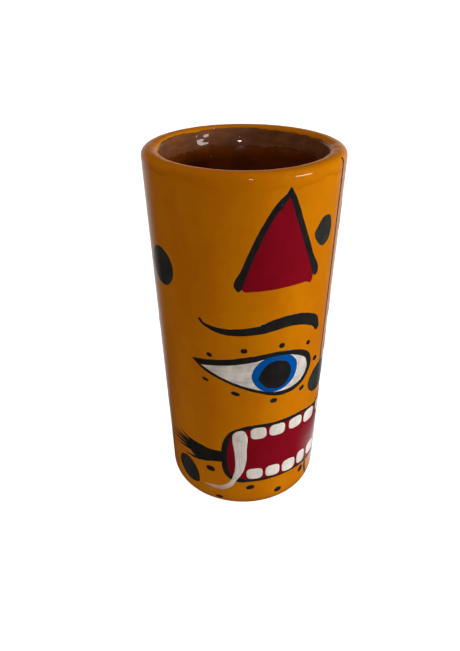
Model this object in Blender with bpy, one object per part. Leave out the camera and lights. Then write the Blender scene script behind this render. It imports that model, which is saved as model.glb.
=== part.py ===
"""A painted clay tumbler with a jaguar's face, modelled in the layers it is made of.

A thrown clay body carries a glazed lining, an ochre coat and the brush marks of the face.
Each layer is a closed solid with a small bond gap to what lies under it, so no two overlap.
Frame: metres, origin at the centre of the foot, +Z up, the face's centre line towards -Y.
Left and right are those of someone who looks at the face.
"""

import math

import bmesh
import bpy
import numpy as np

# Driving dimensions of the clay, metres
CUP_HEIGHT = 0.150
RIM_RADIUS = 0.039          # outside, under the lip
BASE_RADIUS = 0.031         # outside, just above the heel
WALL = 0.0064
FLOOR = 0.0085              # thickness from the resting plane to the inside floor
LIP_HEIGHT = 0.0024         # depth of the rounded lip
LIP_SQUARENESS = 2.4        # 2 is an ellipse, more is flatter on top
HEEL_RADIUS = 0.011         # rounding between the side and the foot
INSIDE_RADIUS = 0.009       # rounding between the inside wall and the floor
FOOT_RING = 0.006           # width of the flat ring that the cup stands on
FOOT_RECESS = 0.0012        # how far the middle of the base is hollowed

# Layers on the clay, metres
BOND = 0.00005              # clearance between one layer and the next
LINING = 0.0004             # brown glaze inside
COAT = 0.0003               # ochre coat outside
PAINT = 0.00022             # one coat of enamel
SEAM = 0.0003               # clearance between the coat and the lining, on the inside of the lip
COAT_END = math.radians(68) # how far round the heel the coat goes

# The face is laid out on the unrolled wall: degrees from its centre line, millimetres of height
LAYOUT_HEIGHT = 150.0
EDGE_GAP = 0.15             # between a fill and the outline round it
LINE_TOP = 147.4            # the forehead line stops where the lip begins to turn

# Fineness of the mesh
FACETS = 48
FACET = 360.0 / FACETS
LIP_STEPS = 3
LAP_STEP = 1                # the point of the lip, from the inside wall, where the coat starts
HEEL_STEPS = 4
FOOT_STEPS = 2
FLOOR_STEPS = 5
CURVE_STEPS = 2
BLOB_POINTS = 14
TOOTH_POINTS = 12
MERGE = 0.00001
SNAP = 0.001                # degrees or millimetres on the layout

# Marks that the left side shows and the right side mirrors, as (degrees, millimetres)
EAR_OUTER = [(-72.3, 107.3), (-67.8, 115.4), (-56.3, 132.4), (-49.3, 139.6), (-43.2, 143.1),
             (-41.7, 144.8), (-38.8, 141.6), (-31.3, 129.3), (-24.3, 118.5), (-18.6, 108.7)]
EAR_INNER = [(-22.6, 108.4), (-30.1, 120.2), (-36.3, 130.4), (-42.3, 140.8),
             (-48.8, 135.7), (-57.2, 125.4), (-62.6, 116.6), (-68.0, 106.6)]
EAR_FOOT_LEFT = [(-69.9, 105.4)]
EAR_FOOT_RIGHT = [(-20.2, 107.6)]
EAR_HEM = [(-50.0, 106.0), (-28.0, 106.4), (-24.0, 105.8)]
EYE_OUTER = [(-100.9, 73.9), (-79.0, 76.4), (-58.0, 78.5), (-41.5, 79.1), (-27.0, 77.2),
             (-18.2, 73.8), (-15.3, 69.3), (-19.0, 63.5), (-28.0, 59.7), (-40.0, 58.5),
             (-57.8, 61.2), (-80.3, 66.6), (-94.0, 70.4)]
EYE_INNER = [(-94.6, 72.2), (-79.0, 73.9), (-60.0, 75.8), (-44.0, 77.3), (-30.0, 75.2),
             (-22.0, 72.0), (-20.0, 68.0), (-24.0, 63.6), (-34.0, 61.0), (-46.0, 60.9),
             (-60.0, 63.3), (-80.0, 67.9)]
IRIS = (-45.0, 69.4, 9.7, 8.4)
PUPIL = [(-57.1, 67.8), (-54.8, 71.0), (-50.0, 74.2), (-44.0, 74.9), (-37.5, 73.3), (-33.9, 69.5),
         (-35.5, 65.5), (-40.0, 62.7), (-46.0, 62.3), (-52.5, 63.7), (-56.0, 66.2)]
EYEBROW = [(-94.4, 92.9, 1.5), (-89.0, 90.6, 1.9), (-80.0, 88.8, 2.5), (-66.0, 88.9, 3.3),
           (-48.0, 91.0, 4.9), (-36.0, 91.8, 5.1), (-23.0, 89.9, 5.0), (-15.2, 87.2, 4.6),
           (-12.4, 84.4, 3.6)]
FANG = [(-75.0, 38.5), (-73.1, 31.0), (-72.6, 25.0), (-73.9, 20.3), (-77.8, 15.6), (-83.5, 13.5),
        (-91.0, 12.9), (-100.0, 12.5), (-91.0, 11.3), (-83.0, 11.3), (-76.8, 12.8), (-71.5, 17.0),
        (-67.0, 21.2), (-64.7, 26.0), (-63.8, 33.0), (-64.3, 41.2), (-66.2, 42.9), (-71.0, 42.7)]
WHISKER_ROOT = [(-83.3, 26.6), (-83.3, 31.2)]
WHISKER_TOP = [(-92.0, 31.9), (-106.0, 32.5), (-122.4, 35.1)]
WHISKER_HAIRS = [(-110.0, 32.0), (-130.0, 33.3), (-113.5, 30.9), (-137.0, 31.0), (-112.5, 29.6),
                 (-137.5, 29.0), (-110.6, 28.0), (-130.0, 26.6), (-101.8, 25.9), (-120.0, 24.4)]
WHISKER_BELOW = [(-105.0, 23.5), (-96.0, 24.3)]
JAW_SPOT = [(-114.0, 22.8), (-122.0, 21.7), (-126.2, 17.6), (-123.0, 13.8), (-116.0, 11.2),
            (-109.0, 10.6), (-103.5, 11.6), (-102.8, 15.4), (-107.5, 20.6)]
FOREHEAD_SPOT = [(-24.0, 125.6), (-22.0, 127.6), (-17.5, 130.7), (-11.0, 130.3), (-8.0, 125.5),
                 (-9.5, 121.0), (-15.5, 119.0), (-21.5, 121.6)]
TEMPLE_SPOT = (-125.0, 109.5, 8.0, 8.0)

# Marks on the centre line. The half outlines are mirrored about it.
NOSE_HALF = [(0.0, 51.6), (-6.0, 52.0), (-12.5, 54.0), (-16.2, 57.9), (-14.6, 60.8), (-10.9, 63.2),
             (-5.5, 64.7), (0.0, 65.0)]
MOUTH_OUTER_HALF = [(0.0, 16.6), (-15.0, 16.9), (-38.0, 16.8), (-58.0, 16.3), (-74.5, 16.8),
                    (-80.6, 20.0), (-83.0, 28.0), (-81.8, 36.0), (-76.5, 41.8), (-66.0, 44.9),
                    (-45.0, 45.9), (-22.0, 46.5), (0.0, 45.0)]
MOUTH_INNER_HALF = [(0.0, 18.6), (-20.0, 18.2), (-45.0, 18.0), (-68.0, 18.3), (-75.4, 20.2),
                    (-78.2, 27.0), (-77.2, 35.5), (-73.6, 41.0), (-64.0, 43.2), (-42.0, 44.1),
                    (-20.0, 44.9), (0.0, 43.6)]
FOREHEAD_LINE = [(0.5, 65.8, 1.1), (1.2, 90.0, 1.0), (0.4, 120.0, 1.1)]
CHIN_LINE = [(-8.0, 15.3, 1.4), (-7.0, 13.0, 1.6), (-5.2, 9.6, 1.3)]

# Teeth of one side, from the corner of the mouth inwards: left and right edge, bottom and top
UPPER_TEETH = [(-61.7, -49.9, 38.5, 44.4), (-48.0, -35.2, 38.9, 44.7), (-32.2, -19.2, 39.4, 44.9),
               (-17.0, -2.6, 38.6, 44.7)]
LOWER_TEETH = [(-64.3, -51.5, 17.8, 23.4), (-49.8, -37.5, 18.0, 23.7), (-35.8, -22.8, 17.8, 24.0),
               (-20.8, -10.6, 18.2, 24.7)]
FRONT_LOWER_TOOTH = (-8.0, 6.2, 19.0, 24.9)

# Loose dots under the mouth and whiskers, and spots on the back: centre, half width, half height
CHIN_DOTS = [(-92.1, 21.3, 2.0, 1.25), (-61.0, 13.3, 1.7, 1.0), (-38.0, 9.3, 1.8, 1.4),
             (-14.0, 14.3, 1.5, 1.3)]
BACK_SPOTS = [(176.0, 124.0, 7.4, 6.6), (-163.0, 78.0, 8.2, 7.2), (168.0, 38.0, 7.0, 7.8)]

# Colour, roughness of each material
FINISHES = {
    "fired_clay": ((0.38, 0.13, 0.06), 0.85),
    "brown_glaze": ((0.10, 0.025, 0.012), 0.12),
    "ochre_enamel": ((0.62, 0.20, 0.005), 0.15),
    "black_enamel": ((0.012, 0.012, 0.013), 0.2),
    "red_enamel": ((0.24, 0.006, 0.012), 0.2),
    "white_enamel": ((0.72, 0.68, 0.62), 0.25),
    "blue_enamel": ((0.0, 0.075, 0.36), 0.2),
}


def arc(centre, radius, start, end, steps):
    """Points of a circular arc in the (radius, height) plane, from one angle to another."""
    angles = [start + (end - start) * step / steps for step in range(steps + 1)]
    return [(centre[0] + radius * math.cos(a), centre[1] + radius * math.sin(a)) for a in angles]


def lean():
    """How far the side leans out from upright, as an angle."""
    return math.atan2(RIM_RADIUS - BASE_RADIUS, CUP_HEIGHT - LIP_HEIGHT - HEEL_RADIUS)


def foot_radius():
    """Outer radius of the flat foot, where the rounded heel meets the resting plane."""
    return BASE_RADIUS - HEEL_RADIUS * math.cos(lean())


def coated_heel():
    """The rounded heel, tangent to the side, down to where the ochre coat ends."""
    return arc((foot_radius(), HEEL_RADIUS), HEEL_RADIUS, -lean(), -COAT_END, HEEL_STEPS)


def bare_heel():
    """The rest of the rounded heel, down to the foot."""
    return arc((foot_radius(), HEEL_RADIUS), HEEL_RADIUS, -COAT_END, -math.pi / 2, FOOT_STEPS)


def lip():
    """The rounded lip, from the inside wall over the crest to the outside wall."""
    middle = RIM_RADIUS - WALL / 2
    power = 2 / LIP_SQUARENESS
    points = []
    for step in range(2 * LIP_STEPS + 1):
        turn = math.pi * (1 - step / (2 * LIP_STEPS))
        across = math.copysign(abs(math.cos(turn)) ** power, math.cos(turn))
        up = math.sin(turn) ** power
        points.append((middle + WALL / 2 * across, CUP_HEIGHT - LIP_HEIGHT * (1 - up)))
    return points


def inside():
    """The inside, from the centre of the floor out to the foot of the inside wall."""
    level = FLOOR + INSIDE_RADIUS
    drop = CUP_HEIGHT - LIP_HEIGHT - level
    wall = RIM_RADIUS - WALL - drop * math.tan(lean())
    corner = arc((wall - INSIDE_RADIUS, level), INSIDE_RADIUS, -math.pi / 2, 0, FLOOR_STEPS)
    return [(0.0, FLOOR)] + corner


def foot():
    """The flat ring that the cup stands on and the shallow hollow inside it."""
    inner = foot_radius() - FOOT_RING
    return [(inner, 0.0), (inner - FOOT_RECESS, FOOT_RECESS), (0.0, FOOT_RECESS)]


def coated():
    """The stretch of clay that the ochre coat covers: over the lip, down the side, round the heel."""
    return lip()[LAP_STEP:] + coated_heel()


def lined():
    """The stretch of clay that the glaze covers: the inside, up to a seam short of the coat."""
    *below, last, coat_edge = inside() + lip()[:LAP_STEP + 1]
    share = 1 - SEAM / math.dist(last, coat_edge)
    end = tuple(low + share * (high - low) for low, high in zip(last, coat_edge))
    return below + [last, end]


def offset(path, distance):
    """A path moved sideways, away from the clay, with mitred corners."""
    points = np.array(path)
    along = np.diff(points, axis=0)
    along /= np.linalg.norm(along, axis=1)[:, None]
    sideways = np.stack([-along[:, 1], along[:, 0]], axis=1)
    first = np.vstack([sideways[:1], sideways])
    second = np.vstack([sideways, sideways[-1:]])
    mitre = (first + second) / (1 + np.sum(first * second, axis=1))[:, None]
    return [tuple(point) for point in points + mitre * distance]


def finish(name):
    """A Principled material with one of the named finishes."""
    colour, roughness = FINISHES[name]
    material = bpy.data.materials.new(name)
    material.use_nodes = True
    shader = material.node_tree.nodes["Principled BSDF"]
    shader.inputs["Base Color"].default_value = (*colour, 1.0)
    shader.inputs["Roughness"].default_value = roughness
    return material


def place(name, mesh, material, parent):
    """Add a mesh to the scene as a named piece of the tumbler."""
    mesh.materials.append(material)
    piece = bpy.data.objects.new(name, mesh)
    bpy.context.collection.objects.link(piece)
    piece.parent = parent
    return piece


def turned(name, profile, closed, material, parent):
    """A piece turned about the cup's axis from a profile of (radius, height) points."""
    mesh = bpy.data.meshes.new(name)
    edges = [(index, index + 1) for index in range(len(profile) - 1)]
    if closed:
        edges.append((len(profile) - 1, 0))
    mesh.from_pydata([(radius, 0.0, height) for radius, height in profile], edges, [])
    piece = place(name, mesh, material, parent)
    screw = piece.modifiers.new("Turn", "SCREW")
    screw.axis = "Z"
    screw.angle = math.tau
    screw.steps = screw.render_steps = FACETS
    screw.use_merge_vertices = True
    screw.merge_threshold = MERGE
    screw.use_smooth_shade = True
    return piece


def layer(number):
    """Distances from the clay of the underside and the top of a numbered coat of enamel."""
    under = BOND + COAT + BOND + (number - 1) * (PAINT + BOND)
    return under, under + PAINT


def degree_width(height):
    """Millimetres along the wall in one degree, at a height on the layout."""
    rise = height / LAYOUT_HEIGHT
    return math.radians(1) * 1000 * (BASE_RADIUS + (RIM_RADIUS - BASE_RADIUS) * rise)


def smooth(points, corners=(), closed=True):
    """Points on a curve through the given ones, which turns sharply only at the listed corners."""
    path = np.array(points, dtype=float)
    metric = np.ones(path.shape[1])
    metric[0] = degree_width(path[:, 1].mean())
    count = len(path)
    spans = count if closed else count - 1
    ends = set(corners) if closed else set(corners) | {0, count - 1}

    def length(step):
        return np.linalg.norm((step * metric)[:2])

    def tangent(index, chord):
        """Unit-speed direction at a point, or along one chord where the curve has a corner."""
        if index % count in ends:
            return chord / length(chord)
        back = path[index % count] - path[index - 1]
        ahead = path[(index + 1) % count] - path[index % count]
        back_length, ahead_length = length(back), length(ahead)
        weighted = back / back_length * ahead_length + ahead / ahead_length * back_length
        return weighted / (back_length + ahead_length)

    curve = []
    for index in range(spans):
        start, end = path[index], path[(index + 1) % count]
        chord = end - start
        leave = tangent(index, chord) * length(chord)
        arrive = tangent(index + 1, chord) * length(chord)
        for step in range(CURVE_STEPS):
            t = step / CURVE_STEPS
            curve.append((2 * t**3 - 3 * t**2 + 1) * start + (t**3 - 2 * t**2 + t) * leave
                         + (3 * t**2 - 2 * t**3) * end + (t**3 - t**2) * arrive)
    if not closed:
        curve.append(path[-1])
    return [tuple(point) for point in curve]


def inset(outline, distance):
    """A closed outline drawn in by a distance in millimetres, with mitred corners."""
    points = np.array(outline)
    metric = np.array([degree_width(points[:, 1].mean()), 1.0])
    flat = points * metric
    following = np.roll(flat, -1, axis=0)
    area = np.sum(flat[:, 0] * following[:, 1] - following[:, 0] * flat[:, 1])
    along = following - flat
    along /= np.linalg.norm(along, axis=1)[:, None]
    inward = np.stack([-along[:, 1], along[:, 0]], axis=1) * math.copysign(1, area)
    before = np.roll(inward, 1, axis=0)
    mitre = (before + inward) / (1 + np.sum(before * inward, axis=1))[:, None]
    return [tuple(point) for point in (flat + mitre * distance) / metric]


def stroke(path):
    """Outline of a brush stroke along (degrees, millimetres, width) points, with round ends."""
    points = np.array(smooth(path, closed=False))
    metric = np.array([degree_width(points[:, 1].mean()), 1.0])
    flat = points[:, :2] * metric
    radii = points[:, 2:] / 2
    along = np.gradient(flat, axis=0)
    along /= np.linalg.norm(along, axis=1)[:, None]
    across = np.stack([-along[:, 1], along[:, 0]], axis=1)
    left = flat + across * radii
    right = flat - across * radii
    start_cap = flat[0] - along[0] * radii[0]
    end_cap = flat[-1] + along[-1] * radii[-1]
    outline = np.vstack([left, end_cap[None], right[::-1], start_cap[None]])
    return [tuple(point) for point in outline / metric]


def blob(angle, height, half_width, half_height, squareness=2.0, count=BLOB_POINTS):
    """Outline of a dab of the brush, from an ellipse to a rounded rectangle."""
    power = 2 / squareness
    outline = []
    for index in range(count):
        turn = math.tau * (index + 0.5) / count
        across = math.copysign(abs(math.cos(turn)) ** power, math.cos(turn))
        up = math.copysign(abs(math.sin(turn)) ** power, math.sin(turn))
        outline.append((angle + half_width * across / degree_width(height), height + half_height * up))
    return outline


def tooth(left, right, bottom, top):
    """Outline of a tooth: one square dab of the brush between its four edges."""
    height = (bottom + top) / 2
    half_width = (right - left) / 2 * degree_width(height)
    return blob((left + right) / 2, height, half_width, (top - bottom) / 2, 3.2, TOOTH_POINTS)


def mirrored(outlines):
    """The same outlines on the other side of the face."""
    return [[(-angle, height) for angle, height in outline] for outline in outlines]


def both_halves(half):
    """A closed outline from its left half, which starts and ends on the centre line."""
    return smooth(half + [(-angle, height) for angle, height in half[-2:0:-1]])


def on_wall(angle, height, distance):
    """The point over a place on the layout, at a distance from the faceted clay."""
    path = coated()
    raised = offset(path, distance)
    crest = LIP_STEPS - LAP_STEP
    level = height * CUP_HEIGHT / LAYOUT_HEIGHT
    for index in range(crest, len(path) - 1):
        if level >= path[index + 1][1]:
            break
    share = (path[index][1] - level) / (path[index][1] - path[index + 1][1])
    radius = raised[index][0] + share * (raised[index + 1][0] - raised[index][0])
    upward = raised[index][1] + share * (raised[index + 1][1] - raised[index][1])
    middle = (math.floor(angle / FACET) + 0.5) * FACET
    radius *= math.cos(math.radians(FACET / 2)) / math.cos(math.radians(angle - middle))
    turn = math.radians(angle)
    return radius * math.sin(turn), -radius * math.cos(turn), upward


def cut(shape, axis, position):
    """Split a flat shape on the layout along a line, so that it can fold there."""
    everything = shape.verts[:] + shape.edges[:] + shape.faces[:]
    point = [position if index == axis else 0.0 for index in range(3)]
    normal = [1.0 if index == axis else 0.0 for index in range(3)]
    bmesh.ops.bisect_plane(shape, geom=everything, dist=SNAP, plane_co=point, plane_no=normal)


def on_a_line(edge):
    """Whether an edge of a flat shape lies along one of the lines where the wall folds."""
    start, end = edge.verts
    level = abs(start.co.y - end.co.y) < SNAP
    upright = abs(start.co.x - end.co.x) < SNAP
    return level or (upright and abs(start.co.x / FACET - round(start.co.x / FACET)) < SNAP)


def film(name, outlines, number, material, parent):
    """A closed film of enamel on the wall. The first outline is its edge, others are holes."""
    shape = bmesh.new()
    for outline in outlines:
        corners = [shape.verts.new((angle, height, 0.0)) for angle, height in outline]
        for start, end in zip(corners, corners[1:] + corners[:1]):
            shape.edges.new((start, end))
    bmesh.ops.triangle_fill(shape, edges=shape.edges[:], use_beauty=True, normal=(0.0, 0.0, 1.0))
    angles = [vertex.co.x for vertex in shape.verts]
    heights = [vertex.co.y for vertex in shape.verts]
    for line in range(math.ceil(min(angles) / FACET), math.floor(max(angles) / FACET) + 1):
        cut(shape, 0, line * FACET)
    for _, ring in coated_heel():
        level = ring * LAYOUT_HEIGHT / CUP_HEIGHT
        if min(heights) < level < max(heights):
            cut(shape, 1, level)
    folds = [edge for edge in shape.edges if edge.is_boundary or on_a_line(edge)]
    spare = [edge for edge in shape.edges if edge not in folds]
    bmesh.ops.dissolve_edges(shape, edges=spare)
    midway = [vertex for vertex in shape.verts if len(vertex.link_edges) == 2 and not vertex.is_boundary]
    bmesh.ops.dissolve_verts(shape, verts=midway)
    raised = bmesh.ops.extrude_face_region(shape, geom=shape.faces[:])["geom"]
    for item in raised:
        if isinstance(item, bmesh.types.BMVert):
            item.co.z = 1.0
    bmesh.ops.recalc_face_normals(shape, faces=shape.faces[:])
    under, top = layer(number)
    for vertex in shape.verts:
        vertex.co = on_wall(vertex.co.x, vertex.co.y, top if vertex.co.z > 0.5 else under)
    mesh = bpy.data.meshes.new(name)
    shape.to_mesh(mesh)
    shape.free()
    return place(name, mesh, material, parent)


def ear():
    """Outlines of the ear's black edge, an open V on its head, and of the red inside it."""
    inner = smooth(EAR_INNER, corners=(3,), closed=False)
    outer = smooth(EAR_FOOT_LEFT + EAR_OUTER + EAR_FOOT_RIGHT, corners=(6,), closed=False)
    hem = smooth([EAR_INNER[-1]] + EAR_HEM + [EAR_INNER[0]], closed=False)
    return [outer + inner], [inset(inner + hem[1:-1], EDGE_GAP)]


def eye_white():
    """Outline of the white of the eye, which fills the black outline up to a gap."""
    return inset(smooth(EYE_INNER, corners=(0,)), EDGE_GAP)


def whiskers():
    """Outline of the tuft of hairs that spreads from the corner of the mouth."""
    top = smooth(WHISKER_ROOT[1:] + WHISKER_TOP, closed=False)
    below = smooth(WHISKER_HAIRS[-1:] + WHISKER_BELOW + WHISKER_ROOT[:1], closed=False)
    return top + WHISKER_HAIRS[:-1] + below


def paired_marks():
    """Each mark of the left side: name, outlines, number of its coat, finish."""
    ear_outline, ear_red = ear()
    eye_outline = [smooth(EYE_OUTER, corners=(0,)), smooth(EYE_INNER, corners=(0,))]
    return [
        ("ear_outline", ear_outline, 1, "black_enamel"),
        ("ear_red", ear_red, 1, "red_enamel"),
        ("eyebrow", [stroke(EYEBROW)], 1, "black_enamel"),
        ("eye_outline", eye_outline, 1, "black_enamel"),
        ("eye_white", [eye_white()], 1, "white_enamel"),
        ("iris", [blob(*IRIS, count=20)], 2, "blue_enamel"),
        ("pupil", [smooth(PUPIL, corners=(0,))], 3, "black_enamel"),
        ("fang", [smooth(FANG, corners=(7,))], 2, "white_enamel"),
        ("whiskers", [whiskers()], 1, "black_enamel"),
        ("forehead_spot", [smooth(FOREHEAD_SPOT)], 1, "black_enamel"),
        ("temple_spot", [blob(*TEMPLE_SPOT)], 1, "black_enamel"),
        ("jaw_spot", [smooth(JAW_SPOT)], 1, "black_enamel"),
    ]


def centre_marks():
    """Each mark that crosses the centre line: name, outlines, number of its coat, finish."""
    mouth_outer, mouth_inner = both_halves(MOUTH_OUTER_HALF), both_halves(MOUTH_INNER_HALF)
    forehead_line = FOREHEAD_LINE + [(0.0, LINE_TOP - 0.5, 1.2)]
    return [
        ("nose", [both_halves(NOSE_HALF)], 1, "black_enamel"),
        ("forehead_line", [stroke(forehead_line)], 1, "black_enamel"),
        ("chin_line", [stroke(CHIN_LINE)], 1, "black_enamel"),
        ("mouth_outline", [mouth_outer, mouth_inner], 1, "black_enamel"),
        ("mouth_red", [inset(mouth_inner, EDGE_GAP)], 1, "red_enamel"),
    ]


def row_of_teeth(name, half, middle=()):
    """The teeth of one jaw, numbered from the left corner of the mouth to the right."""
    others = [(-right, -left, bottom, top) for left, right, bottom, top in reversed(half)]
    row = half + list(middle) + others
    return [(f"{name}_{number}", [tooth(*edges)], 2, "white_enamel") for number, edges in enumerate(row, 1)]


def marks():
    """Every brush mark on the cup."""
    found = centre_marks()
    for name, outlines, number, colour in paired_marks():
        found.append((f"{name}_left", outlines, number, colour))
        found.append((f"{name}_right", mirrored(outlines), number, colour))
    found += row_of_teeth("upper_tooth", UPPER_TEETH)
    found += row_of_teeth("lower_tooth", LOWER_TEETH, [FRONT_LOWER_TOOTH])
    for number, dot in enumerate(CHIN_DOTS, 1):
        outlines = [blob(*dot, count=10)]
        found.append((f"chin_dot_left_{number}", outlines, 1, "black_enamel"))
        found.append((f"chin_dot_right_{number}", mirrored(outlines), 1, "black_enamel"))
    for number, spot in enumerate(BACK_SPOTS, 1):
        found.append((f"back_spot_{number}", [blob(*spot)], 1, "black_enamel"))
    return found


def clay_profile():
    """The clay body's section, from the centre of the floor to the centre of the base."""
    return inside() + lip() + coated_heel() + bare_heel()[1:] + foot()


def skin(path, under, top):
    """The closed section of a layer on a stretch of the clay, between two distances from it."""
    return offset(path, top) + offset(path, under)[::-1]


def main():
    """Build the tumbler."""
    for item in list(bpy.data.objects):
        bpy.data.objects.remove(item)
    cup = bpy.data.objects.new("tumbler", None)
    bpy.context.collection.objects.link(cup)
    finishes = {name: finish(name) for name in FINISHES}
    turned("clay_body", clay_profile(), False, finishes["fired_clay"], cup)
    turned("lining_glaze", skin(lined(), BOND, BOND + LINING), False, finishes["brown_glaze"], cup)
    turned("ochre_coat", skin(coated(), BOND, BOND + COAT), True, finishes["ochre_enamel"], cup)
    for name, outlines, number, colour in marks():
        film(name, outlines, number, finishes[colour], cup)


main()
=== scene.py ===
"""Finished surface of a painted clay tumbler with a jaguar's face, built round its frame.

Each layer is laid on the thrown wall as the maker lays it: the clay, the glazed lining with its
brushed brown band, the ochre coat, and then the fills, outlines and dabs of the face.
"""

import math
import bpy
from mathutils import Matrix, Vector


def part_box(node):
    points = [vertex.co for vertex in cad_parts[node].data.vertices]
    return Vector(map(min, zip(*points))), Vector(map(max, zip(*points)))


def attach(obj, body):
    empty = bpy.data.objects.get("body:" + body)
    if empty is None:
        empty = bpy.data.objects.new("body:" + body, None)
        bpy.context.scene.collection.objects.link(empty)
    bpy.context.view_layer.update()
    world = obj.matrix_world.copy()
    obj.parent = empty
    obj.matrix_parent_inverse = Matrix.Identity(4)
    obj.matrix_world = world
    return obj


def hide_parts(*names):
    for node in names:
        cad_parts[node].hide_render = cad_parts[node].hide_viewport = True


bl_info = {
    "name": "Jaguar Tumbler",
    "version": (1, 0, 0),
    "blender": (4, 5, 0),
    "location": "3D View > Sidebar > Tumbler",
    "description": "Builds the clay, glaze and brushwork of a painted tumbler",
    "category": "Add Mesh",
}

import bpy
import numpy as np
from mathutils import Quaternion, Vector, noise
from mathutils.geometry import delaunay_2d_cdt

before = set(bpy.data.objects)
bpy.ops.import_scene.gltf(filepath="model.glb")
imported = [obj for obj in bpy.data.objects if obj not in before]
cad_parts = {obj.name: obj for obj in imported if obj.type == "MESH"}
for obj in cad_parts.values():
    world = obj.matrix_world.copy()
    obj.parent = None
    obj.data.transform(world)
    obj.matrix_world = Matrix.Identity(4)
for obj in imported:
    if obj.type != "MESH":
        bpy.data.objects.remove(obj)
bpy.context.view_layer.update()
CLAY_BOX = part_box("clay_body")

BODY = "root"
CAMERA_AZIMUTH = -66.0      # degrees, from the middle of the face
LAYOUT_HEIGHT = 150.0       # the face is laid out in degrees and millimetres on a cup this high
MILLIMETRE = 0.001
ROUND = 240                 # columns of the turned surfaces
ANGLES = np.arange(ROUND) * 360.0 / ROUND
ROW = 0.0014                # height of their rows
LIP_POINTS = 41             # points of the section over the lip
SUNK = 0.00006              # how deep the underside of a layer lies in what it covers
BATCH = 2000                # points that are measured at a time
BRUSH_SEED = 21             # of the wavering of the brush, which is the same each time


def length_property(label, description, default):
    """A size of the cup, in metres."""
    return bpy.props.FloatProperty(
        name=label, description=description, default=default, unit="LENGTH")


class TumblerSizes(bpy.types.PropertyGroup):
    """Sizes of the clay and of the layers on it."""

    height: length_property("Height", "From the foot to the crest of the lip", CLAY_BOX[1][2])
    rim_radius: length_property("Rim radius", "Outside of the coat, under the lip", CLAY_BOX[1][0])
    base_radius: length_property("Base radius", "Outside of the coat, above the heel", 0.031)
    wall: length_property("Wall", "Thickness of the clay at the lip", 0.0064)
    floor: length_property("Floor", "Thickness of the floor", 0.0085)
    lip_height: length_property("Lip height", "Depth of the rounded lip", 0.0024)
    lip_squareness: bpy.props.FloatProperty(
        name="Lip squareness", description="2 is an ellipse, more is flatter", default=2.4)
    heel_radius: length_property("Heel", "Rounding above the foot", 0.011)
    inside_radius: length_property("Inside corner", "Rounding of the inside floor", 0.009)
    flare: bpy.props.FloatProperty(
        name="Flare", description="How much the inside opens below the lip", default=0.22)
    flare_height: length_property("Flare height", "Depth over which the inside opens", 0.0100)
    foot_ring: length_property("Foot ring", "Width of the flat ring", 0.006)
    foot_recess: length_property("Foot recess", "Hollow of the base", 0.0012)
    coat: length_property("Coat", "Thickness of the ochre coat", 0.00040)
    lining: length_property("Lining", "Thickness of the glaze inside", 0.00020)
    band: length_property("Brown band", "Depth of the brushed band inside the lip", 0.0078)
    paint: length_property("Paint", "Thickness of one coat of enamel", 0.00005)
    bead: length_property("Bead", "Width of the rounded edge of a stroke", 0.00045)


def colour_property(label, default):
    """A colour of the finish, in linear values."""
    return bpy.props.FloatVectorProperty(
        name=label, description=f"{label} as laid on the cup", subtype="COLOR", size=3,
        min=0.0, max=1.0, default=default)


class TumblerColours(bpy.types.PropertyGroup):
    """Colours of the clay, the glaze and the enamels."""

    clay: colour_property("Bare clay", (0.36, 0.135, 0.068))
    lining: colour_property("Lining glaze", (0.21, 0.046, 0.004))
    band: colour_property("Brown band", (0.25, 0.088, 0.032))
    ochre: colour_property("Ochre", (0.64, 0.210, 0.0002))
    ochre_deep: colour_property("Deep ochre", (0.58, 0.170, 0.0002))
    black: colour_property("Black", (0.0120, 0.0120, 0.0120))
    red: colour_property("Crimson", (0.245, 0.0033, 0.013))
    white: colour_property("White", (0.86, 0.83, 0.78))
    blue: colour_property("Blue", (0.0, 0.095, 0.42))


# ---------------------------------------------------------------- outlines of the marks

# Marks of the left side, mirrored on the right, as (degrees, millimetres) on the unrolled wall
EAR_OUTER = [(-69.9, 105.4), (-72.3, 107.3), (-67.8, 115.4), (-56.3, 132.4), (-49.3, 139.6),
             (-43.7, 143.4), (-42.0, 145.3), (-39.0, 141.7), (-31.3, 129.3), (-24.3, 118.5),
             (-18.6, 108.7), (-20.2, 107.6)]
EAR_INNER = [(-22.6, 108.4), (-30.1, 120.2), (-36.3, 130.4), (-42.3, 140.8),
             (-48.8, 135.7), (-57.2, 125.4), (-62.6, 116.6), (-68.0, 106.6)]
EAR_HEM = [(-67.0, 105.6), (-50.0, 106.0), (-34.0, 106.5), (-26.6, 106.3), (-24.4, 105.7),
           (-22.2, 107.0)]
EAR_DRIP = (-47.8, 138.0, 1.35, 1.25)
EYE_OUTER = [(-102.4, 74.5), (-79.0, 76.4), (-58.0, 78.5), (-41.5, 79.1), (-27.0, 77.2),
             (-18.2, 73.8), (-15.3, 69.3), (-19.0, 63.5), (-28.0, 59.7), (-40.0, 58.5),
             (-57.8, 61.2), (-80.3, 66.6), (-94.0, 70.4)]
EYE_INNER = [(-95.8, 72.3), (-79.0, 73.6), (-60.0, 75.5), (-44.0, 77.2), (-30.0, 75.2),
             (-22.0, 72.0), (-20.0, 68.0), (-24.0, 63.6), (-34.0, 61.0), (-46.0, 60.9),
             (-60.0, 63.3), (-80.0, 67.9)]
IRIS = [(-61.7, 69.0), (-59.8, 73.0), (-54.0, 76.4), (-44.0, 77.9), (-35.5, 76.6),
        (-29.8, 72.8), (-29.2, 69.5), (-31.2, 65.5), (-38.0, 61.8), (-46.5, 60.7),
        (-54.5, 62.2), (-59.6, 65.2)]
PUPIL = [(-57.7, 67.6), (-55.2, 71.2), (-50.3, 74.5), (-44.0, 75.4), (-37.4, 73.8),
         (-33.9, 69.5), (-35.5, 65.5), (-40.0, 62.7), (-46.0, 62.3), (-52.5, 63.7),
         (-56.0, 66.2)]
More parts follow.
